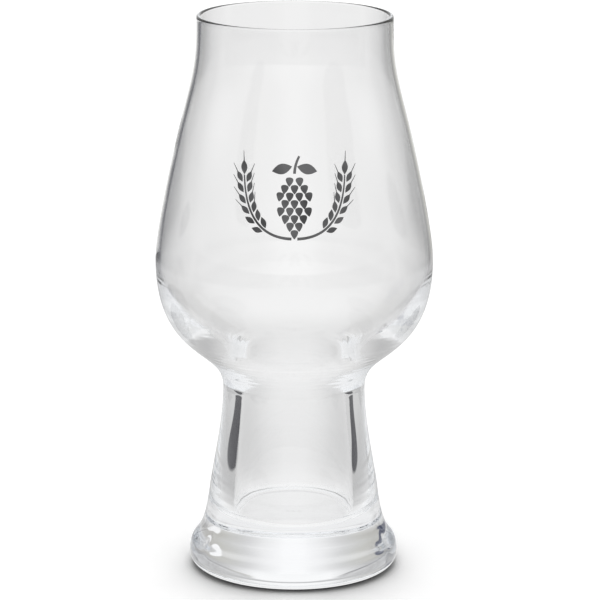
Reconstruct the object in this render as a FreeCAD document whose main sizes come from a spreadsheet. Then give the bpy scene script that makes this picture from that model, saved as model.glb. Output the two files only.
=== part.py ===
import FreeCAD, Part
import math
import os

import Sketcher

# A tulip beer glass in one piece of clear glass: a wide bowl that draws in to a short upright
# lip, a hollow stem with thick walls, and a heavy round foot with a solid bottom.
# Lengths are in millimetres and angles in degrees. The origin is the centre of the underside
# and +Z runs up the axis. The glass is one half-section turned about that axis.

# Driving sizes. A station is a height where the wall has a named radius. A reach says how far
# the wall keeps the direction of its station before it bends away to the next one: a long
# reach makes a slow bend and a short reach a tight one.

SIZES = [
    ("foot_radius", 34.25, "widest part of the foot"),
    ("foot_edge", 3.6, "rounding of the foot's lower edge"),
    ("foot_reach", 8.85, "upward from the widest part of the foot"),

    ("stem_radius", 27.6, "outside of the stem's lower end"),
    ("stem_height", 25.6, "height of the stem's lower end"),
    ("stem_slope", 6.65, "lean of the stem towards the axis"),
    ("stem_reach_down", 19.9, "from the stem into the flare of the foot"),
    ("stem_reach_up", 6.0, "from the stem towards the waist"),

    ("waist_radius", 23.15, "outside of the narrowest part"),
    ("waist_rise", 34.0, "from the stem's lower end up to the waist"),
    ("waist_reach_down", 12.1, "from the waist towards the stem"),
    ("waist_reach_up", 15.0, "from the waist towards the bowl"),

    ("belly_radius", 45.0, "widest part of the bowl"),
    ("belly_rise", 42.7, "from the waist up to the belly"),
    ("belly_reach_down", 32.6, "from the belly towards the waist"),
    ("belly_reach_up", 9.6, "from the belly towards the shoulder"),

    ("shoulder_radius", 36.6, "bowl where it leans in the most"),
    ("shoulder_rise", 45.55, "from the belly up to the shoulder"),
    ("shoulder_slope", 14.6, "lean of the bowl towards the axis there"),
    ("shoulder_reach_down", 8.0, "from the shoulder towards the belly"),
    ("shoulder_reach_up", 16.9, "from the shoulder towards the lip"),

    ("rim_radius", 31.5, "outside of the lip"),
    ("rim_rise", 34.15, "from the shoulder up to the top of the lip"),
    ("rim_reach", 14.1, "downward from the lip"),

    ("rim_wall", 1.4, "thickness of the lip, which is fully rounded"),
    ("bowl_wall", 1.5, "thickness of the bowl at its belly and shoulder"),
    ("neck_wall", 6.1, "thickness at the waist"),
    ("stem_wall", 7.5, "outside of the stem's lower end to the bore's lower end"),

    ("basin_reach_down", 25.0, "inside, from the belly towards the neck"),
    ("neck_reach_up", 12.0, "inside, from the neck towards the belly"),
    ("neck_reach_down", 13.3, "inside, from the neck into the bore"),
    ("bore_reach", 13.9, "inside, upward from the lower end of the bore"),
    ("floor_corner", 3.0, "rounding between the bore and its floor"),
    ("floor_height", 17.0, "solid glass under the bore"),
]

document = FreeCAD.newDocument("BeerGlass")
sheet = document.addObject("Spreadsheet::Sheet", "Size")
for row, (alias, value, meaning) in enumerate(SIZES, start=1):
    sheet.set(f"A{row}", alias)
    sheet.set(f"B{row}", str(value))
    sheet.setAlias(f"B{row}", alias)
    sheet.set(f"C{row}", meaning)
document.recompute()

body = document.addObject("PartDesign::Body", "Glass")
body.Label = "glass"
upright = next(plane for plane in body.Origin.OriginFeatures if plane.Role == "XZ_Plane")
section = body.newObject("Sketcher::SketchObject", "HalfSection")
section.AttachmentSupport = [(upright, "")]
section.MapMode = "FlatFace"
document.recompute()

# Points of the half-section as formulas for the distance from the axis and the height. None
# stands for a point on the axis or on the table.

STEM_HEIGHT = "Size.stem_height"
WAIST_HEIGHT = STEM_HEIGHT + " + Size.waist_rise"
BELLY_HEIGHT = WAIST_HEIGHT + " + Size.belly_rise"
SHOULDER_HEIGHT = BELLY_HEIGHT + " + Size.shoulder_rise"
TOTAL_HEIGHT = SHOULDER_HEIGHT + " + Size.rim_rise"

BASE_CENTRE = (None, None)
BASE_EDGE = ("Size.foot_radius - Size.foot_edge", None)
FOOT = ("Size.foot_radius", "Size.foot_edge")
FOOT_UP = ("Size.foot_radius", "Size.foot_edge + Size.foot_reach")

STEM = ("Size.stem_radius", STEM_HEIGHT)
STEM_DOWN = (
    "Size.stem_radius + Size.stem_reach_down * sin(Size.stem_slope * 1 deg)",
    STEM_HEIGHT + " - Size.stem_reach_down * cos(Size.stem_slope * 1 deg)",
)
STEM_UP = (
    "Size.stem_radius - Size.stem_reach_up * sin(Size.stem_slope * 1 deg)",
    STEM_HEIGHT + " + Size.stem_reach_up * cos(Size.stem_slope * 1 deg)",
)

WAIST = ("Size.waist_radius", WAIST_HEIGHT)
WAIST_DOWN = ("Size.waist_radius", WAIST_HEIGHT + " - Size.waist_reach_down")
WAIST_UP = ("Size.waist_radius", WAIST_HEIGHT + " + Size.waist_reach_up")

BELLY = ("Size.belly_radius", BELLY_HEIGHT)
BELLY_DOWN = ("Size.belly_radius", BELLY_HEIGHT + " - Size.belly_reach_down")
BELLY_UP = ("Size.belly_radius", BELLY_HEIGHT + " + Size.belly_reach_up")

SHOULDER = ("Size.shoulder_radius", SHOULDER_HEIGHT)
SHOULDER_DOWN = (
    "Size.shoulder_radius + Size.shoulder_reach_down * sin(Size.shoulder_slope * 1 deg)",
    SHOULDER_HEIGHT + " - Size.shoulder_reach_down * cos(Size.shoulder_slope * 1 deg)",
)
SHOULDER_UP = (
    "Size.shoulder_radius - Size.shoulder_reach_up * sin(Size.shoulder_slope * 1 deg)",
    SHOULDER_HEIGHT + " + Size.shoulder_reach_up * cos(Size.shoulder_slope * 1 deg)",
)

RIM = ("Size.rim_radius", TOTAL_HEIGHT + " - Size.rim_wall / 2")
RIM_DOWN = ("Size.rim_radius", RIM[1] + " - Size.rim_reach")
RIM_TOP = ("Size.rim_radius - Size.rim_wall / 2", TOTAL_HEIGHT)

NECK_RADIUS = "Size.waist_radius - Size.neck_wall"
BORE_RADIUS = "Size.stem_radius - Size.stem_wall"
NECK = (NECK_RADIUS, WAIST_HEIGHT)
NECK_UP = (NECK_RADIUS, WAIST_HEIGHT + " + Size.neck_reach_up")
NECK_DOWN = (NECK_RADIUS, WAIST_HEIGHT + " - Size.neck_reach_down")
BORE = (BORE_RADIUS, "Size.floor_height + Size.floor_corner")
BORE_UP = (BORE_RADIUS, BORE[1] + " + Size.bore_reach")
FLOOR_EDGE = (BORE_RADIUS + " - Size.floor_corner", "Size.floor_height")
FLOOR_CENTRE = (None, "Size.floor_height")


def inside(point, wall):
    """The point of the inner wall at the height of a point of the outer wall."""
    radius, height = point
    return (radius + " - Size." + wall, height)


def value_of(formula):
    """What a formula gives now, as a plain number."""
    if formula is None:
        return 0.0
    return float(section.evalExpression(formula))


def vector_of(point):
    radius, height = point
    return FreeCAD.Vector(value_of(radius), value_of(height), 0)


# How a sketch numbers the places on one of its edges, and its two axes
START, END, CENTRE = range(1, 4)
HORIZONTAL_AXIS, VERTICAL_AXIS = range(-1, -3, -1)
ROOT = (HORIZONTAL_AXIS, START)


def pin(place, label, point):
    """Tie one end or centre in the sketch to the axis and to the table by its formulas."""
    radius, height = point
    rules = [
        ("DistanceX", VERTICAL_AXIS, "radius", radius),
        ("DistanceY", HORIZONTAL_AXIS, "height", height),
    ]
    for direction, axis, suffix, formula in rules:
        if formula is None:
            section.addConstraint(Sketcher.Constraint("PointOnObject", *place, axis))
            continue
        rule = Sketcher.Constraint(direction, *ROOT, *place, value_of(formula))
        name = f"{label}_{suffix}"
        section.renameConstraint(section.addConstraint(rule), name)
        section.setExpression("Constraints." + name, formula)


def join(first, second):
    """Make two ends meet."""
    section.addConstraint(Sketcher.Constraint("Coincident", *first, *second))


def line(start, label, start_point, end_point):
    """A straight edge from an end that is already placed. Gives back its far end."""
    edge = section.addGeometry(Part.LineSegment(vector_of(start_point), vector_of(end_point)))
    join((edge, START), start)
    pin((edge, END), label, end_point)
    return (edge, END)


def bend(start, label, start_point, leaving, arriving, end_point):
    """A smooth edge that leaves its start and reaches its end along the two reach points."""
    curve = Part.BSplineCurve()
    poles = [vector_of(point) for point in (start_point, leaving, arriving, end_point)]
    curve.buildFromPolesMultsKnots(poles, [4, 4], [0, 1], False, 3)
    edge = section.addGeometry(curve)
    # The sketch shows the four poles as circles, numbered on from the edge
    section.exposeInternalGeometry(edge)
    leaving_pole = edge + 2
    arriving_pole = edge + 3
    join((edge, START), start)
    pin((leaving_pole, CENTRE), label + "_leaving", leaving)
    pin((arriving_pole, CENTRE), label + "_arriving", arriving)
    pin((edge, END), label, end_point)
    return (edge, END)


def quarter(start, label, start_point, centre_point, end_point, radius, turns_left=True):
    """A quarter circle of a named radius."""
    begin = vector_of(start_point)
    centre = vector_of(centre_point)
    finish = vector_of(end_point)
    circle = Part.Circle(centre, FreeCAD.Vector(0, 0, 1), value_of(radius))
    angles = [math.atan2(point.y - centre.y, point.x - centre.x) for point in (begin, finish)]
    near, far = START, END
    if not turns_left:
        angles.reverse()
        near, far = far, near
    edge = section.addGeometry(Part.ArcOfCircle(circle, *angles))
    join((edge, near), start)
    pin((edge, far), label, end_point)
    name = label + "_rounding"
    rule = Sketcher.Constraint("Radius", edge, value_of(radius))
    section.renameConstraint(section.addConstraint(rule), name)
    section.setExpression("Constraints." + name, radius)
    return (edge, far)


# The underside and the outer wall, from the axis up to the lip

end = line(ROOT, "base_edge", BASE_CENTRE, BASE_EDGE)
end = quarter(end, "foot", BASE_EDGE, (BASE_EDGE[0], FOOT[1]), FOOT, "Size.foot_edge")
end = bend(end, "stem", FOOT, FOOT_UP, STEM_DOWN, STEM)
end = bend(end, "waist", STEM, STEM_UP, WAIST_DOWN, WAIST)
end = bend(end, "belly", WAIST, WAIST_UP, BELLY_DOWN, BELLY)
end = bend(end, "shoulder", BELLY, BELLY_UP, SHOULDER_DOWN, SHOULDER)
end = bend(end, "rim", SHOULDER, SHOULDER_UP, RIM_DOWN, RIM)

# The lip, rounded over its whole thickness

INNER_RIM = inside(RIM, "rim_wall")
LIP_CENTRE = (RIM_TOP[0], RIM[1])
end = quarter(end, "rim_top", RIM, LIP_CENTRE, RIM_TOP, "Size.rim_wall / 2")
end = quarter(end, "inner_rim", RIM_TOP, LIP_CENTRE, INNER_RIM, "Size.rim_wall / 2")

# The inner wall, from the lip down into the bore and along its floor to the axis

INNER_SHOULDER = inside(SHOULDER, "bowl_wall")
INNER_BELLY = inside(BELLY, "bowl_wall")
BASIN_DOWN = (INNER_BELLY[0], BELLY_HEIGHT + " - Size.basin_reach_down")
end = bend(
    end, "inner_shoulder", INNER_RIM, inside(RIM_DOWN, "rim_wall"),
    inside(SHOULDER_UP, "bowl_wall"), INNER_SHOULDER,
)
end = bend(
    end, "inner_belly", INNER_SHOULDER, inside(SHOULDER_DOWN, "bowl_wall"),
    inside(BELLY_UP, "bowl_wall"), INNER_BELLY,
)
end = bend(end, "neck", INNER_BELLY, BASIN_DOWN, NECK_UP, NECK)
end = bend(end, "bore", NECK, NECK_DOWN, BORE_UP, BORE)
end = quarter(
    end, "floor_edge", BORE, (FLOOR_EDGE[0], BORE[1]), FLOOR_EDGE, "Size.floor_corner",
    turns_left=False,
)
end = line(end, "floor_centre", FLOOR_EDGE, FLOOR_CENTRE)

# The axis closes the half-section

axis_edge = section.addGeometry(Part.LineSegment(vector_of(FLOOR_CENTRE), vector_of(BASE_CENTRE)))
join((axis_edge, START), end)
join((axis_edge, END), ROOT)
document.recompute()

turned = body.newObject("PartDesign::Revolution", "Turned")
turned.Profile = section
turned.ReferenceAxis = (section, ["V_Axis"])
turned.Angle = 360
body.Tip = turned
document.recompute()

# Nothing is written unless every feature came out sound

for item in document.Objects:
    if "Invalid" in item.State or "Error" in item.State:
        raise RuntimeError(f"{item.Label} did not build: {item.State}")
if body.Shape.isNull() or not body.Shape.isValid() or len(body.Shape.Solids) != 1:
    raise RuntimeError("the glass is not one sound solid")

os.makedirs("parts", exist_ok=True)
body.Shape.exportStep(f"parts/{body.Label}.step")

box = body.Shape.BoundBox
print(f"{body.Label}: {box.XLength:.2f} x {box.YLength:.2f} x {box.ZLength:.2f} mm,"
      f" {body.Shape.Volume / 1000:.1f} ml of glass")
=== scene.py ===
import math
import random

import bpy
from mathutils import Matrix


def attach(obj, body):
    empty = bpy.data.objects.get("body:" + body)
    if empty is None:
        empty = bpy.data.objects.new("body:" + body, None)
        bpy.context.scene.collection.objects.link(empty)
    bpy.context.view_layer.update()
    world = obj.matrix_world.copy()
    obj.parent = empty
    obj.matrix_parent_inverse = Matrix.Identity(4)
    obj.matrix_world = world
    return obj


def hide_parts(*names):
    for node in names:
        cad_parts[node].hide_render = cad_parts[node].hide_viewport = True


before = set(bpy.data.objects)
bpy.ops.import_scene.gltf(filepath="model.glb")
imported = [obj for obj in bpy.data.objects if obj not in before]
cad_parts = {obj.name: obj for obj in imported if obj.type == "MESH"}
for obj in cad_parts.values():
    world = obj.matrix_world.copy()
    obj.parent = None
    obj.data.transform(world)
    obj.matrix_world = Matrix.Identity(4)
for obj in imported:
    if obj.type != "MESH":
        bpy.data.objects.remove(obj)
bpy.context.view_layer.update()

# A clear tulip beer glass on a white table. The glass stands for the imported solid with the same
# section, turned much finer and with the unevenness that hot glass keeps from its mould.
# Lengths in the section, its unevenness and the print are in millimetres, and those of the
# scene in metres.

MM = 0.001

# ---------------------------------------------------------------- section
# A station is a place of the outer wall: its radius, its height and how far the wall leans
# there towards the axis. A reach says how far the wall keeps that direction, up or down,
# before it bends away to the next station.

FOOT = (34.25, 3.6, 0)
STEM = (27.6, 25.6, math.radians(6.65))
WAIST = (23.15, 59.6, 0)
BELLY = (45.0, 102.3, 0)
SHOULDER = (36.6, 147.85, math.radians(14.6))
RIM = (31.5, 181.3, 0)

FOOT_UP = 8.85
STEM_DOWN, STEM_UP = -19.9, 6.0
WAIST_DOWN, WAIST_UP = -12.1, 15.0
BELLY_DOWN, BELLY_UP = -32.6, 9.6
SHOULDER_DOWN, SHOULDER_UP = -8.0, 16.9
RIM_DOWN = -14.1
INNER_BELLY_DOWN = -25.0
NECK_DOWN, NECK_UP = -13.3, 12.0
BORE_UP = 13.9

FOOT_EDGE = 3.6
RIM_WALL = 1.4
BOWL_WALL = 1.5
NECK_WALL = 6.1
STEM_WALL = 7.5
BORE_FLOOR = 17.0
FLOOR_CORNER = 3.0


def along(station, reach):
    """A point further up a wall, or down it where the reach is negative."""
    radius, height, slope = station
    return (radius - reach * math.sin(slope), height + reach * math.cos(slope))


def inward(station, wall):
    return (station[0] - wall, *station[1:])


def bend(start, first_reach, finish, last_reach, steps, crowd=(1, 1)):
    """A cubic curve without its last point. Crowd above 1 draws points to its start or end."""
    corners = (start, along(start, first_reach), along(finish, last_reach), finish)
    points = []
    for i in range(steps):
        t = (i / steps) ** crowd[0]
        t = 1 - (1 - t) ** crowd[1]
        shares = ((1 - t) ** 3, 3 * (1 - t) ** 2 * t, 3 * (1 - t) * t * t, t ** 3)
        points.append(tuple(sum(s * c[k] for s, c in zip(shares, corners)) for k in (0, 1)))
    return points


def arc(centre, radius, first, last, steps):
    """Part of a circle without its last point, between two angles in degrees."""
    points = []
    for i in range(steps):
        angle = math.radians(first + (last - first) * i / steps)
        points.append((centre[0] + radius * math.cos(angle), centre[1] + radius * math.sin(angle)))
    return points


def straight(start, finish, steps):
    return [tuple(p + (q - p) * i / steps for p, q in zip(start, finish)) for i in range(steps)]


def underside():
    edge = FOOT[0] - FOOT_EDGE
    flat = straight((0, 0), (edge, 0), steps=10)
    return flat + arc((edge, FOOT_EDGE), FOOT_EDGE, -90, 0, steps=16)


def outer_wall():
    """From the foot up to the lip."""
    wall = bend(FOOT, FOOT_UP, STEM, STEM_DOWN, steps=64)
    wall += bend(STEM, STEM_UP, WAIST, WAIST_DOWN, steps=56)
    wall += bend(WAIST, WAIST_UP, BELLY, BELLY_DOWN, steps=130, crowd=(1.25, 1))
    wall += bend(BELLY, BELLY_UP, SHOULDER, SHOULDER_DOWN, steps=44)
    wall += bend(SHOULDER, SHOULDER_UP, RIM, RIM_DOWN, steps=40)
    return wall


def lip():
    return arc((RIM[0] - RIM_WALL / 2, RIM[1]), RIM_WALL / 2, 0, 180, steps=16)


def inner_wall():
    """From the lip down into the bore and along its floor to the axis."""
    rim = inward(RIM, RIM_WALL)
    shoulder = inward(SHOULDER, BOWL_WALL)
    belly = inward(BELLY, BOWL_WALL)
    neck = inward(WAIST, NECK_WALL)
    bore = (STEM[0] - STEM_WALL, BORE_FLOOR + FLOOR_CORNER, 0)
    corner = inward(bore, FLOOR_CORNER)
    wall = bend(rim, RIM_DOWN, shoulder, SHOULDER_UP, steps=40)
    wall += bend(shoulder, SHOULDER_DOWN, belly, BELLY_UP, steps=44)
    wall += bend(belly, INNER_BELLY_DOWN, neck, NECK_UP, steps=110, crowd=(1, 1.25))
    wall += bend(neck, NECK_DOWN, bore, BORE_UP, steps=56)
    wall += arc(corner, FLOOR_CORNER, 0, -90, steps=12)
    wall += straight((corner[0], BORE_FLOOR), (0, BORE_FLOOR), steps=10)
    return wall


# ---------------------------------------------------------------- unevenness
# The mould and the shears leave rings round the neck, the stem's end and the foot, small
# dimples low on the bowl and slow waves in the walls. All of them are a few hundredths of a
# millimetre deep. Only the two marks of the mould on the foot stand out further.

# Where each kind is: the height of its middle, and how far it spreads up and down from there.
NECK_RINGS = (69.0, 7.0)
STEM_RINGS = (22.0, 5.5)
FOOT_RINGS = (13.0, 5.0)
BOWL_WAVES = (104.0, 26.0)
STEM_WAVES = (36.0, 14.0)
INNER_NECK_RINGS = (66.0, 4.5)
BORE_WAVES = (42.0, 16.0)

DIMPLE_COUNT = 46
DIMPLE_HEIGHTS = (81.0, 92.0)
DIMPLE_SIZES = (0.45, 0.9)
DIMPLE_DEPTHS = (0.02, 0.06)
DIMPLE_RADIUS = 42.0
# Angle, height, size and how far each mark stands out.
MOULD_MARKS = [(math.radians(-24), 10.5, 3.2, 0.45), (math.radians(-150), 10.5, 2.6, 0.4)]


def hump(value, middle, spread):
    return math.exp(-((value - middle) / spread) ** 2)


def ring(height, spacing, shift):
    """Crests one spacing apart up the wall, all shifted by an angle."""
    return math.sin(2 * math.pi * height / spacing + shift)


def sideways(angle, least, more):
    """A depth that grows from the front and back of the glass to its sides."""
    return least + more * math.cos(angle) ** 2


def dimples():
    """Angle, height, size and depth of the dimples low on the bowl."""
    draw = random.Random(7)
    return [
        (
            draw.uniform(0, 2 * math.pi), draw.uniform(*DIMPLE_HEIGHTS),
            draw.uniform(*DIMPLE_SIZES), draw.choice((-1, 1)) * draw.uniform(*DIMPLE_DEPTHS),
        )
        for _ in range(DIMPLE_COUNT)
    ]


SPOTS = dimples() + MOULD_MARKS


def unevenness(height, angle):
    """How far the outer wall stands out."""
    drift = math.sin(3 * angle + 0.7) + 0.6 * math.sin(7 * angle + 2.0)
    rings = ring(height, 1.55, 0.6 * drift) + 0.8 * ring(height, 2.35, 1.0 - 0.5 * drift)
    out = sideways(angle, 0.006, 0.03) * rings * hump(height, *NECK_RINGS)
    out += 0.012 * math.sin(11 * angle + 0.05 * height) * hump(height, *BOWL_WAVES)
    out += 0.02 * math.sin(4 * angle + 0.21 * height) * hump(height, *STEM_WAVES)
    rings = ring(height, 2.9, 0.4 * drift)
    out += sideways(angle, 0.002, 0.034) * rings * hump(height, *STEM_RINGS)
    out += 0.012 * ring(height, 3.4, 0.2 * drift) * hump(height, *FOOT_RINGS)
    for spot_angle, spot_height, size, depth in SPOTS:
        if abs(height - spot_height) > 3 * size:
            continue
        turn = math.remainder(angle - spot_angle, 2 * math.pi) * DIMPLE_RADIUS
        if abs(turn) < 3 * size:
            out += depth * hump(math.hypot(turn, height - spot_height), 0, size)
    return out


def inner_unevenness(height, angle):
    """How far the inner wall stands away from the axis, over its even place."""
    drift = math.sin(4 * angle + 0.3) + 0.7 * math.sin(9 * angle + 1.1)
    rings = ring(height, 1.8, 0.6 * drift) + 0.7 * ring(height, 2.6, 2.0 - 0.5 * drift)
    out = 0.012 * math.sin(3 * angle - 0.16 * height + 1.0) * hump(height, *BORE_WAVES)
    out += 0.01 * math.sin(9 * angle + 1.3) * hump(height, *BOWL_WAVES)
    out += sideways(angle, 0.003, 0.03) * rings * hump(height, *INNER_NECK_RINGS)
    return out


def even(height, angle):
    return 0.0


# ---------------------------------------------------------------- glass

TURN_STEPS = 300


def shown(name, vertices, faces):
    mesh = bpy.data.meshes.new(name)
    mesh.from_pydata(vertices, [], faces)
    mesh.update()
    piece = bpy.data.objects.new(name, mesh)
    bpy.context.scene.collection.objects.link(piece)
    return piece


def turned(name, rows):
    """A closed mesh turned about the axis. Rows are radius, height and unevenness."""
    vertices, faces, rings = [], [], []
    for radius, height, uneven in rows:
        if radius == 0:
            rings.append([len(vertices)] * TURN_STEPS)
            vertices.append((0, 0, height * MM))
            continue
        rings.append(list(range(len(vertices), len(vertices) + TURN_STEPS)))
        for i in range(TURN_STEPS):
            angle = 2 * math.pi * i / TURN_STEPS
            out = (radius + uneven(height, angle)) * MM
            vertices.append((out * math.cos(angle), out * math.sin(angle), height * MM))
    for below, above in zip(rings, rings[1:]):
        for i in range(TURN_STEPS):
            j = (i + 1) % TURN_STEPS
            faces.append(list(dict.fromkeys((below[i], below[j], above[j], above[i]))))
    return shown(name, vertices, faces)


OUTER = outer_wall()
rows = [(*point, even) for point in underside()]
rows += [(*point, unevenness) for point in OUTER]
rows += [(*point, even) for point in lip()]
rows += [(*point, inner_unevenness) for point in inner_wall()]
rows += [(0, BORE_FLOOR, even)]
glass = turned("clear_glass", rows)
glass.data.shade_smooth()
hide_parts("glass")
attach(glass, "root")

# ---------------------------------------------------------------- print
# A film of dark enamel on the front of the bowl: two ears of barley round a hop cone. Each
# field of colour is a strip with its own widths, laid round the outer wall. Its places are
# distances to the right and up from the middle of the print, and its headings are in degrees
# from upright, to the right.

PRINT_HEIGHT = 131.0
FILM_OUT = 0.03
FILM_IN = -0.015
THINNEST_HALF = 0.04
COLUMNS = 5
CURVE_GAP = 0.5
CURVE_STEPS = 400

# A curve is given by its start, the corner that it bows towards, and its end.
EAR_CURVE = ((0.9, -12.6), (15.5, -12.2), (16.0, 6.4))
EAR_WIDTHS = (0.9, 0.45)
STALK_CURVE = ((0, 7.2), (0, 10.0), (1.6, 12.8))
STALK_WIDTHS = (0.9, 0.7)

# The grains of an ear stand in pairs, some points of its curve apart.
GRAIN_STEPS = 6
BARE_STEPS = 17
AWNED_STEPS = 20
GRAIN_OFFSET = 1.55
GRAIN_TILT = 27
GRAIN = (3.6, 1.75)
GRAIN_AWN = (1.65, 2.8, 0.3)
TIP_OFFSET = 2.3
TIP_GRAIN = (4.4, 2.1)
TIP_AWN = (2.05, 2.9, 0.32)
AWN_END = 0.14

CONE_ROWS = (2, 3, 4, 3, 4, 3, 2, 1)
CONE_TOP = 6.1
ROW_GAP = 2.28
SCALE_GAP = 2.95
SCALE_GAP_LOSS = 0.06
SCALE_FAN = 8
SCALE = (2.85, 2.35)
LEAF_PLACE = (3.9, 8.6)
LEAF_HEADING = 104
LEAF = (6.4, 3.2)


def radius_at(height):
    """The outer wall's radius and its change with height."""
    for low, high in zip(OUTER, OUTER[1:]):
        if low[1] <= height < high[1]:
            lean = (high[0] - low[0]) / (high[1] - low[1])
            return low[0] + (height - low[1]) * lean, lean
    raise ValueError(f"the outer wall has no height {height}")


def on_bowl(u, v, lift):
    """A place of the print on the outer wall, lifted off it."""
    height = PRINT_HEIGHT + v
    radius, lean = radius_at(height)
    angle = u / radius - math.pi / 2
    length = math.hypot(1, lean)
    out = (radius + unevenness(height, angle) + lift / length) * MM
    return (out * math.cos(angle), out * math.sin(angle), (height - lift * lean / length) * MM)


def strip(spine, half_widths):
    """Vertices and faces of one closed strip of film along a spine."""
    vertices, faces = [], []
    last = len(spine) - 1
    for lift in (FILM_OUT, FILM_IN):
        for i, ((u, v), half) in enumerate(zip(spine, half_widths)):
            before, after = spine[max(i - 1, 0)], spine[min(i + 1, last)]
            run = (after[0] - before[0], after[1] - before[1])
            side = (-run[1] / math.hypot(*run), run[0] / math.hypot(*run))
            for j in range(COLUMNS):
                offset = half * (2 * j / (COLUMNS - 1) - 1)
                vertices.append(on_bowl(u + side[0] * offset, v + side[1] * offset, lift))
    layer = len(spine) * COLUMNS
    for i in range(last):
        first = i * COLUMNS
        for a in range(first, first + COLUMNS - 1):
            corners = [a, a + 1, a + COLUMNS + 1, a + COLUMNS]
            faces.append(corners[::-1])
            faces.append([layer + c for c in corners])
        for a, turn in ((first, 1), (first + COLUMNS - 1, -1)):
            faces.append([a, a + COLUMNS, layer + a + COLUMNS, layer + a][::turn])
    for row, turn in ((0, -1), (last, 1)):
        for a in range(row * COLUMNS, row * COLUMNS + COLUMNS - 1):
            faces.append([a, a + 1, layer + a + 1, layer + a][::turn])
    return vertices, faces


def ahead(point, heading, distance):
    angle = math.radians(heading)
    return (point[0] + math.sin(angle) * distance, point[1] + math.cos(angle) * distance)


def leaf(middle, heading, length, width, fullness=1.7):
    """A pointed oval."""
    spine, halves = [], []
    for i in range(-5, 6):
        share = i / 5
        spine.append(ahead(middle, heading, length / 2 * share))
        halves.append(max(THINNEST_HALF, width / 2 * (1 - abs(share) ** fullness)))
    return strip(spine, halves)


def scale(top, heading, length, width):
    """A scale of the cone, round at its top and pointed at its free end."""
    spine, halves = [], []
    for i in range(13):
        share = 1 - (1 - i / 12) ** 1.5
        spine.append(ahead(top, heading, length * (1 - share)))
        # The factor 0.76 makes the broadest place as wide as the given width.
        half = width * 0.76 * share ** 0.75 * math.sqrt(1 - share ** 4)
        halves.append(max(THINNEST_HALF, half))
    return strip(spine, halves)


def stroke(points, first_width, last_width):
    last = len(points) - 1
    return strip(points, [
        (first_width + (last_width - first_width) * i / last) / 2 for i in range(last + 1)
    ])


def curve(corners):
    """Points along a curve, a gap apart."""
    points = [corners[0]]
    for i in range(1, CURVE_STEPS + 1):
        t = i / CURVE_STEPS
        shares = ((1 - t) ** 2, 2 * (1 - t) * t, t * t)
        point = tuple(sum(s * c[k] for s, c in zip(shares, corners)) for k in (0, 1))
        if math.dist(point, points[-1]) >= CURVE_GAP:
            points.append(point)
    return points


def heading_at(spine, step):
    before, here = spine[step - 1], spine[step]
    return math.degrees(math.atan2(here[0] - before[0], here[1] - before[1]))


def awn(grain, heading, start, length, width):
    """The bristle of a grain, from a start ahead of the grain's middle."""
    root = ahead(grain, heading, start)
    return stroke([root, ahead(root, heading, length)], width, AWN_END)


def ear(side):
    """An ear of barley that rises from the middle and bends outwards. Side is -1 or 1."""
    spine = curve([(side * u, v) for u, v in EAR_CURVE])
    shapes = [stroke(spine, *EAR_WIDTHS)]
    last = len(spine) - 1
    for step in range(last - 1, BARE_STEPS, -GRAIN_STEPS):
        heading = heading_at(spine, step)
        for turn in (-1, 1):
            grain = ahead(spine[step], heading + turn * 90, GRAIN_OFFSET)
            tilt = heading + turn * GRAIN_TILT
            shapes.append(leaf(grain, tilt, *GRAIN))
            if step > last - AWNED_STEPS:
                shapes.append(awn(grain, tilt, *GRAIN_AWN))
    heading = heading_at(spine, last)
    tip = ahead(spine[last], heading, TIP_OFFSET)
    shapes.append(leaf(tip, heading, *TIP_GRAIN))
    shapes.append(awn(tip, heading, *TIP_AWN))
    return shapes


def cone():
    """A hop cone of staggered scales, under its stalk and two leaves."""
    shapes = []
    for row, count in enumerate(CONE_ROWS):
        for place in range(count):
            across = place - (count - 1) / 2
            top = (across * (SCALE_GAP - row * SCALE_GAP_LOSS), CONE_TOP - row * ROW_GAP)
            shapes.append(scale(top, 180 - across * SCALE_FAN, *SCALE))
    for side in (-1, 1):
        middle = (side * LEAF_PLACE[0], LEAF_PLACE[1])
        shapes.append(leaf(middle, side * LEAF_HEADING, *LEAF, fullness=1.9))
    shapes.append(stroke(curve(STALK_CURVE), *STALK_WIDTHS))
    return shapes


vertices, faces = [], []
for strip_vertices, strip_faces in ear(-1) + ear(1) + cone():
    first = len(vertices)
    vertices += strip_vertices
    faces += [[first + i for i in face] for face in strip_faces]
emblem = shown("printed_emblem", vertices, faces)
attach(emblem, "root")

# ---------------------------------------------------------------- nodes

WHITE = (1, 1, 1, 1)


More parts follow.
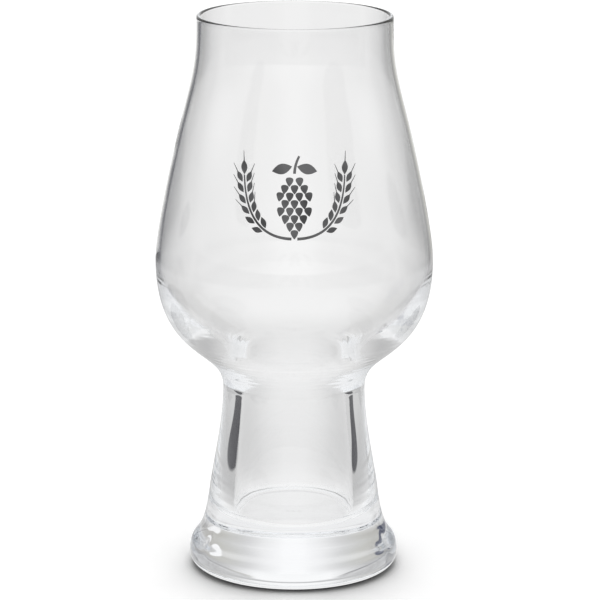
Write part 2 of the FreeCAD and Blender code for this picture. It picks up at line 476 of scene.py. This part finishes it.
class Nodes:
    """Short calls for the shader nodes of one material or world."""

    def __init__(self, block):
        block.use_nodes = True
        self.tree = block.node_tree
        self.tree.nodes.clear()

    def put(self, socket, value):
        if isinstance(value, bpy.types.NodeSocket):
            self.tree.links.new(value, socket)
        else:
            socket.default_value = value

    def add(self, kind, settings=None, **values):
        """A node with its settings. Values are its sockets by name, with _ for a space."""
        node = self.tree.nodes.new("ShaderNode" + kind)
        for key, value in (settings or {}).items():
            setattr(node, key, value)
        for name, value in values.items():
            self.put(node.inputs[name.replace("_", " ")], value)
        return node

    def math(self, operation, *values):
        node = self.add("Math", {"operation": operation})
        for socket, value in zip(node.inputs, values):
            self.put(socket, value)
        return node.outputs[0]

    def ramp(self, factor, *stops):
        """Greys or colours at places from 0 to 1."""
        node = self.add("ValToRGB", Fac=factor)
        elements = node.color_ramp.elements
        while len(elements) < len(stops):
            elements.new(0.5)
        for element, (place, value) in zip(elements, stops):
            element.position = place
            element.color = (*value, 1) if isinstance(value, tuple) else (value, value, value, 1)
        return node.outputs["Color"]

    def mix(self, factor, first, second, blend="MIX"):
        node = self.add("Mix", {"data_type": "RGBA", "blend_type": blend})
        factor_socket = node.inputs[0]
        first_socket, second_socket = [s for s in node.inputs if s.type == "RGBA"]
        self.put(factor_socket, factor)
        self.put(first_socket, first)
        self.put(second_socket, second)
        return next(s for s in node.outputs if s.type == "RGBA")

    def times(self, first, second):
        return self.mix(1.0, first, second, "MULTIPLY")

    def between(self, factor, first, second):
        node = self.add("MixShader", Fac=factor)
        self.put(node.inputs[1], first)
        self.put(node.inputs[2], second)
        return node.outputs[0]


# ---------------------------------------------------------------- materials

material = bpy.data.materials.new("clear_glass")
nodes = Nodes(material)
place = nodes.add("TexCoord").outputs["Object"]
waves = nodes.add("TexNoise", Vector=place, Scale=55.0, Detail=1.0, Roughness=0.4)
ripple = nodes.add("Bump", Strength=0.05, Distance=0.001, Height=waves.outputs["Fac"])
shader = nodes.add(
    "BsdfPrincipled", Base_Color=WHITE, Roughness=0.0, IOR=1.5, Transmission_Weight=1.0,
    Normal=ripple.outputs["Normal"],
)
depth = nodes.add("VolumeAbsorption", Color=(0.885, 0.91, 0.94, 1), Density=6.0)
nodes.add("OutputMaterial", Surface=shader.outputs[0], Volume=depth.outputs[0])
glass.data.materials.append(material)

material = bpy.data.materials.new("dark_enamel")
nodes = Nodes(material)
place = nodes.add("TexCoord").outputs["Object"]
cloud = nodes.add("TexNoise", Vector=place, Scale=95.0, Detail=2.0, Roughness=0.5)
grain = nodes.add("TexNoise", Vector=place, Scale=4000.0, Detail=2.0, Roughness=0.6)
tone = nodes.ramp(
    cloud.outputs["Fac"], (0.36, (0.042, 0.042, 0.044)), (0.64, (0.13, 0.13, 0.134)),
)
bump = nodes.add("Bump", Strength=0.2, Distance=0.00002, Height=grain.outputs["Fac"])
shader = nodes.add(
    "BsdfPrincipled", Base_Color=tone, Roughness=0.42, Normal=bump.outputs["Normal"],
)
nodes.add("OutputMaterial", Surface=shader.outputs[0])
emblem.data.materials.append(material)

# ---------------------------------------------------------------- table and studio
# To the eye the table and the room are white, with a painted shadow on the table round the foot.
# Through the glass they are nearly so, painted a shade grey, with a painted grey band on each side
# of the room's long axis that darkens the glass's edges. What the glass mirrors, outside or within
# its thick walls, is a painted reflection of a dimmer room that the eye does not see: its long
# sides are dark, oval dark patches lie on the table before and behind the glass, and one dark blue
# and one white screen stand further off. Light that many mirrorings have led round inside the
# glass is painted white, a painted highlight.

TABLE_RADIUS = 8.0
TABLE_SIDES = 96
TABLE_DROP = 0.00015
CONTACT_REACH = 0.028

# Colours of painted reflections, which only the glass mirrors.
PAINTED_REFLECTION_BLUE = (0.05, 0.06, 0.11, 1)
PAINTED_REFLECTION_PATCH_GREY = (0.07, 0.07, 0.078, 1)
PAINTED_REFLECTION_GREY = (0.55, 0.55, 0.56, 1)
PAINTED_SHADE_BEHIND_GLASS = (0.94, 0.94, 0.94, 1)


def mirrored(nodes, path):
    """1 for a ray that a smooth surface has mirrored, before any dull surface."""
    glossy = nodes.math("GREATER_THAN", path.outputs["Glossy Depth"], 0.5)
    sharp = nodes.math("LESS_THAN", path.outputs["Diffuse Depth"], 0.5)
    return nodes.math("MULTIPLY", glossy, sharp)


def painted_highlight_share(nodes, path, fewest, most):
    """Up to 1 for light that many mirrorings have led round inside the glass, which is painted
    white as a painted highlight.
    """
    share = nodes.math("SUBTRACT", path.outputs["Glossy Depth"], fewest)
    return nodes.ramp(nodes.math("DIVIDE", share, most - fewest), (0.0, 0.0), (1.0, 0.95))


def painted_reflection_spot(nodes, direction, azimuth, height, size):
    """Up to 1 within a round screen of painted reflection, which only the glass mirrors. All three
    are in degrees.
    """
    out = math.cos(math.radians(height))
    middle = (
        out * math.sin(math.radians(azimuth)), out * math.cos(math.radians(azimuth)),
        math.sin(math.radians(height)),
    )
    near = nodes.add("VectorMath", {"operation": "DOT_PRODUCT"})
    nodes.put(near.inputs[0], direction)
    nodes.put(near.inputs[1], middle)
    edge = math.cos(math.radians(size))
    inside = nodes.math("SUBTRACT", near.outputs["Value"], edge)
    return nodes.ramp(nodes.math("DIVIDE", inside, 1 - edge), (0.0, 0.0), (0.3, 1.0))


def quarter_turn(nodes, x, y):
    """The turn of a direction away from the room's long axis, from 0 to 1 at right angles."""
    turn = nodes.math("ARCTAN2", nodes.math("ABSOLUTE", x), nodes.math("ABSOLUTE", y))
    return nodes.math("MULTIPLY", turn, 2 / math.pi)


def painted_reflection_walls(nodes, x, y):
    """Painted reflection of the room's walls, which only the glass mirrors: white at its ends, and
    dark on both long sides up to a pale strip.
    """
    turn = quarter_turn(nodes, x, y)
    left = nodes.ramp(
        turn, (0.15, 1.0), (0.19, 0.65), (0.22, 0.4), (0.25, 0.24), (0.285, (0.17, 0.172, 0.185)),
        (0.8, (0.17, 0.172, 0.185)), (0.94, 0.3), (1.0, 0.5),
    )
    right = nodes.ramp(
        turn, (0.15, 1.0), (0.175, (0.66, 0.66, 0.63)), (0.2, (0.57, 0.57, 0.54)),
        (0.245, (0.55, 0.55, 0.52)), (0.28, (0.42, 0.42, 0.4)), (0.33, 0.36), (0.4, 0.24),
        (0.8, 0.2), (0.94, 0.3), (1.0, 0.5),
    )
    both = nodes.mix(nodes.math("GREATER_THAN", x, 0.0), left, right)
    ahead = nodes.ramp(nodes.math("GREATER_THAN", y, 0.0), (0.0, 0.4), (1.0, 1.0))
    return nodes.times(both, ahead)


def painted_reflection_patch(nodes, x, y, middle, half_axes, lean):
    """0 within an oval patch of painted reflection on the table and its twin before the glass, and
    1 elsewhere.
    """
    dx = nodes.math("SUBTRACT", x, middle[0])
    dy = nodes.math("SUBTRACT", nodes.math("ABSOLUTE", y), middle[1])
    cosine, sine = math.cos(math.radians(lean)), math.sin(math.radians(lean))
    parts = []
    for share_x, share_y, reach in ((cosine, sine, half_axes[0]), (-sine, cosine, half_axes[1])):
        offset = nodes.math("MULTIPLY", dx, share_x / reach)
        offset = nodes.math("MULTIPLY_ADD", dy, share_y / reach, offset)
        parts.append(nodes.math("MULTIPLY", offset, offset))
    return nodes.ramp(nodes.math("ADD", *parts), (0.75, 0.0), (1.0, 1.0))


def table_shade(nodes, spot, radius):
    """The table's white with a painted shadow, down to black where the foot keeps the light off.
    """
    closeness = nodes.add("AmbientOcclusion", {"samples": 8}, Distance=CONTACT_REACH)
    front = nodes.math("DIVIDE", spot.outputs["Y"], nodes.math("MULTIPLY", radius, -1.0))
    # Painted shadow: the shade reaches further in front of the glass than to its sides and behind.
    front = nodes.ramp(front, (0.0, 0.19), (0.5, 0.06), (0.8, 0.0), (0.95, 0.0), (1.0, 0.04))
    closeness = nodes.math("ADD", closeness.outputs["AO"], front)
    closeness = nodes.math("SUBTRACT", closeness, 0.05)
    return nodes.ramp(closeness, (0.0, 0.04), (0.45, 0.2), (0.75, 0.7), (0.93, 0.88))


def table_behind(nodes, shade, radius, x, y):
    """The table as the eye sees it through the glass, with painted shade: a touch of the painted
    shadow, a darker ring round the foot, and grey bands to the sides that darken the glass's
    edges.
    """
    behind = nodes.ramp(radius, (0.0, 0.96), (0.04, 0.92), (0.1, 0.84), (0.3, 0.93))
    behind = nodes.mix(0.12, behind, shade, "MULTIPLY")
    turn = quarter_turn(nodes, x, y)
    # Painted shade: grey bands away from the room's long axis, darker far off.
    painted_side_shade = nodes.ramp(
        turn, (0.05, 1.0), (0.09, 0.965), (0.13, 0.92), (0.18, 0.855), (0.27, 0.81),
        (0.35, 0.82), (0.5, 0.95), (0.7, 1.0),
    )
    far_painted_side_shade = nodes.ramp(
        turn, (0.03, 1.0), (0.06, 0.975), (0.09, 0.915), (0.105, 0.85), (0.12, 0.775),
        (0.134, 0.69), (0.174, 0.57), (0.2, 0.45), (0.27, 0.47), (0.42, 0.85), (0.65, 1.0),
    )
    painted_side_shade = nodes.mix(nodes.ramp(radius, (0.48, 0.0), (0.58, 1.0)), painted_side_shade, far_painted_side_shade)
    clear_of_foot = nodes.ramp(radius, (0.05, 0.0), (0.1, 1.0))
    return nodes.mix(clear_of_foot, behind, nodes.times(behind, painted_side_shade))


def table_mirrored(nodes, path, radius, x, y):
    """The table as the glass mirrors it, all painted reflection. Far off it takes the tones of the
    room's walls.
    """
    # Painted reflection: two dark oval patches with their twins, and a darker ring round the
    # glass.
    clear = nodes.times(
        painted_reflection_patch(nodes, x, y, (-0.15, 0.1), (0.074, 0.052), -24),
        painted_reflection_patch(nodes, x, y, (0.147, 0.107), (0.076, 0.031), 60),
    )
    near = nodes.ramp(
        radius, (0.0, 0.95), (0.04, 0.93), (0.065, 0.66), (0.09, 0.5), (0.13, 0.52), (0.2, 0.64),
    )
    near = nodes.mix(clear, PAINTED_REFLECTION_PATCH_GREY, near)
    plain = nodes.ramp(radius, (0.44, 0.75), (0.56, 0.0))
    far = nodes.mix(plain, painted_reflection_walls(nodes, x, y), PAINTED_REFLECTION_GREY)
    room = nodes.mix(nodes.ramp(radius, (0.23, 0.0), (0.33, 1.0)), near, far)
    # Painted highlight: long runs inside the glass come out white.
    return nodes.mix(painted_highlight_share(nodes, path, 4.2, 8.0), room, WHITE)


def room_mirrored(nodes, path, heading):
    """The room over the table as the glass mirrors it, a painted reflection: grey sides, a white
    top, two screens, and white for long runs inside the glass.
    """
    direction = nodes.add("SeparateXYZ", Vector=heading)
    height = direction.outputs["Z"]
    turn = quarter_turn(nodes, direction.outputs["X"], direction.outputs["Y"])
    low = nodes.ramp(
        turn, (0.15, 1.0), (0.25, 0.75), (0.35, 0.55), (0.5, 0.5), (0.62, 0.36), (0.85, 0.3),
        (1.0, 0.45),
    )
    high = nodes.ramp(
        turn, (0.04, 1.0), (0.13, 0.88), (0.22, 0.69), (0.3, (0.6, 0.6, 0.585)),
        (0.4, (0.55, 0.545, 0.515)), (0.55, (0.5, 0.49, 0.465)), (0.75, 0.6), (0.9, 0.95),
    )
    room = nodes.mix(nodes.ramp(height, (0.08, 0.0), (0.22, 1.0)), low, high)
    room = nodes.mix(nodes.ramp(height, (0.45, 0.0), (0.65, 1.0)), room, WHITE)
    # Painted reflections of a dark blue screen and a white screen.
    room = nodes.mix(painted_reflection_spot(nodes, heading, -57, 17, 10), room, PAINTED_REFLECTION_BLUE)
    room = nodes.mix(painted_reflection_spot(nodes, heading, 48, 26, 7), room, WHITE)
    # Painted highlight: long runs inside the glass come out white.
    return nodes.mix(nodes.math("MULTIPLY", painted_highlight_share(nodes, path, 4.8, 8.0), 0.65), room, WHITE)


corners = [
    (
        TABLE_RADIUS * math.cos(2 * math.pi * i / TABLE_SIDES),
        TABLE_RADIUS * math.sin(2 * math.pi * i / TABLE_SIDES),
        -TABLE_DROP,
    )
    for i in range(TABLE_SIDES)
]
table = shown("table", corners, [list(range(TABLE_SIDES))])

material = bpy.data.materials.new("table")
nodes = Nodes(material)
path = nodes.add("LightPath")
position = nodes.add("NewGeometry").outputs["Position"]
spot = nodes.add("SeparateXYZ", Vector=position)
x, y = spot.outputs["X"], spot.outputs["Y"]
radius = nodes.add("VectorMath", {"operation": "LENGTH"}, Vector=position).outputs["Value"]
# The table's colour and its glow both carry the painted shadow. Where there is no shadow, the glow
# keeps the table white.
shade = table_shade(nodes, spot, radius)
dull = nodes.add("BsdfDiffuse", Color=shade)
lift = nodes.add("Emission", Color=shade, Strength=0.28)
direct = nodes.add("AddShader")
nodes.put(direct.inputs[0], dull.outputs[0])
nodes.put(direct.inputs[1], lift.outputs[0])
# Through the glass the table glows with painted shade, and mirrored by the glass it glows with
# painted reflections.
through = nodes.add("Emission", Color=table_behind(nodes, shade, radius, x, y))
mirror = nodes.add("Emission", Color=table_mirrored(nodes, path, radius, x, y))
seen = nodes.between(path.outputs["Is Camera Ray"], through.outputs[0], direct.outputs[0])
seen = nodes.between(mirrored(nodes, path), seen, mirror.outputs[0])
nodes.add("OutputMaterial", Surface=seen)
table.data.materials.append(material)

world = bpy.data.worlds.new("studio")
bpy.context.scene.world = world
nodes = Nodes(world)
path = nodes.add("LightPath")
heading = nodes.add("TexCoord").outputs["Generated"]
open_air = nodes.math("LESS_THAN", path.outputs["Transmission Depth"], 0.5)
# Painted shade: seen through the glass, the backdrop is a shade grey, which greys the glass.
backdrop = nodes.mix(open_air, PAINTED_SHADE_BEHIND_GLASS, WHITE)
room = room_mirrored(nodes, path, heading)
seen = nodes.mix(nodes.math("GREATER_THAN", path.outputs["Glossy Depth"], 0.5), backdrop, room)
lit = nodes.mix(nodes.math("GREATER_THAN", path.outputs["Diffuse Depth"], 0.5), seen, WHITE)
background = nodes.add("Background", Color=lit)
nodes.add("OutputWorld", Surface=background.outputs[0])
world.cycles.sampling_method = "NONE"

# ---------------------------------------------------------------- camera

CAMERA_PLACE = (0, -0.9972, 0.3325)
CAMERA_DOWN = 13.752
CAMERA_ROLL = -0.2
CAMERA_TURN = -0.06
SENSOR_WIDTH = 36
LENS = 189.3
NEAREST = 0.01
BOUNCES = 32

camera_data = bpy.data.cameras.new("camera")
camera_data.sensor_width = SENSOR_WIDTH
camera_data.lens = LENS
camera_data.clip_start = NEAREST
camera = bpy.data.objects.new("camera", camera_data)
bpy.context.scene.collection.objects.link(camera)
camera.location = CAMERA_PLACE
camera.rotation_euler = [math.radians(a) for a in (90 - CAMERA_DOWN, CAMERA_ROLL, CAMERA_TURN)]
bpy.context.scene.camera = camera
bpy.context.scene.view_settings.view_transform = "Standard"

# Light that runs round inside the thick walls is mirrored many times before it leaves.
light_paths = bpy.context.scene.cycles
light_paths.max_bounces = BOUNCES
light_paths.glossy_bounces = BOUNCES
light_paths.transmission_bounces = BOUNCES
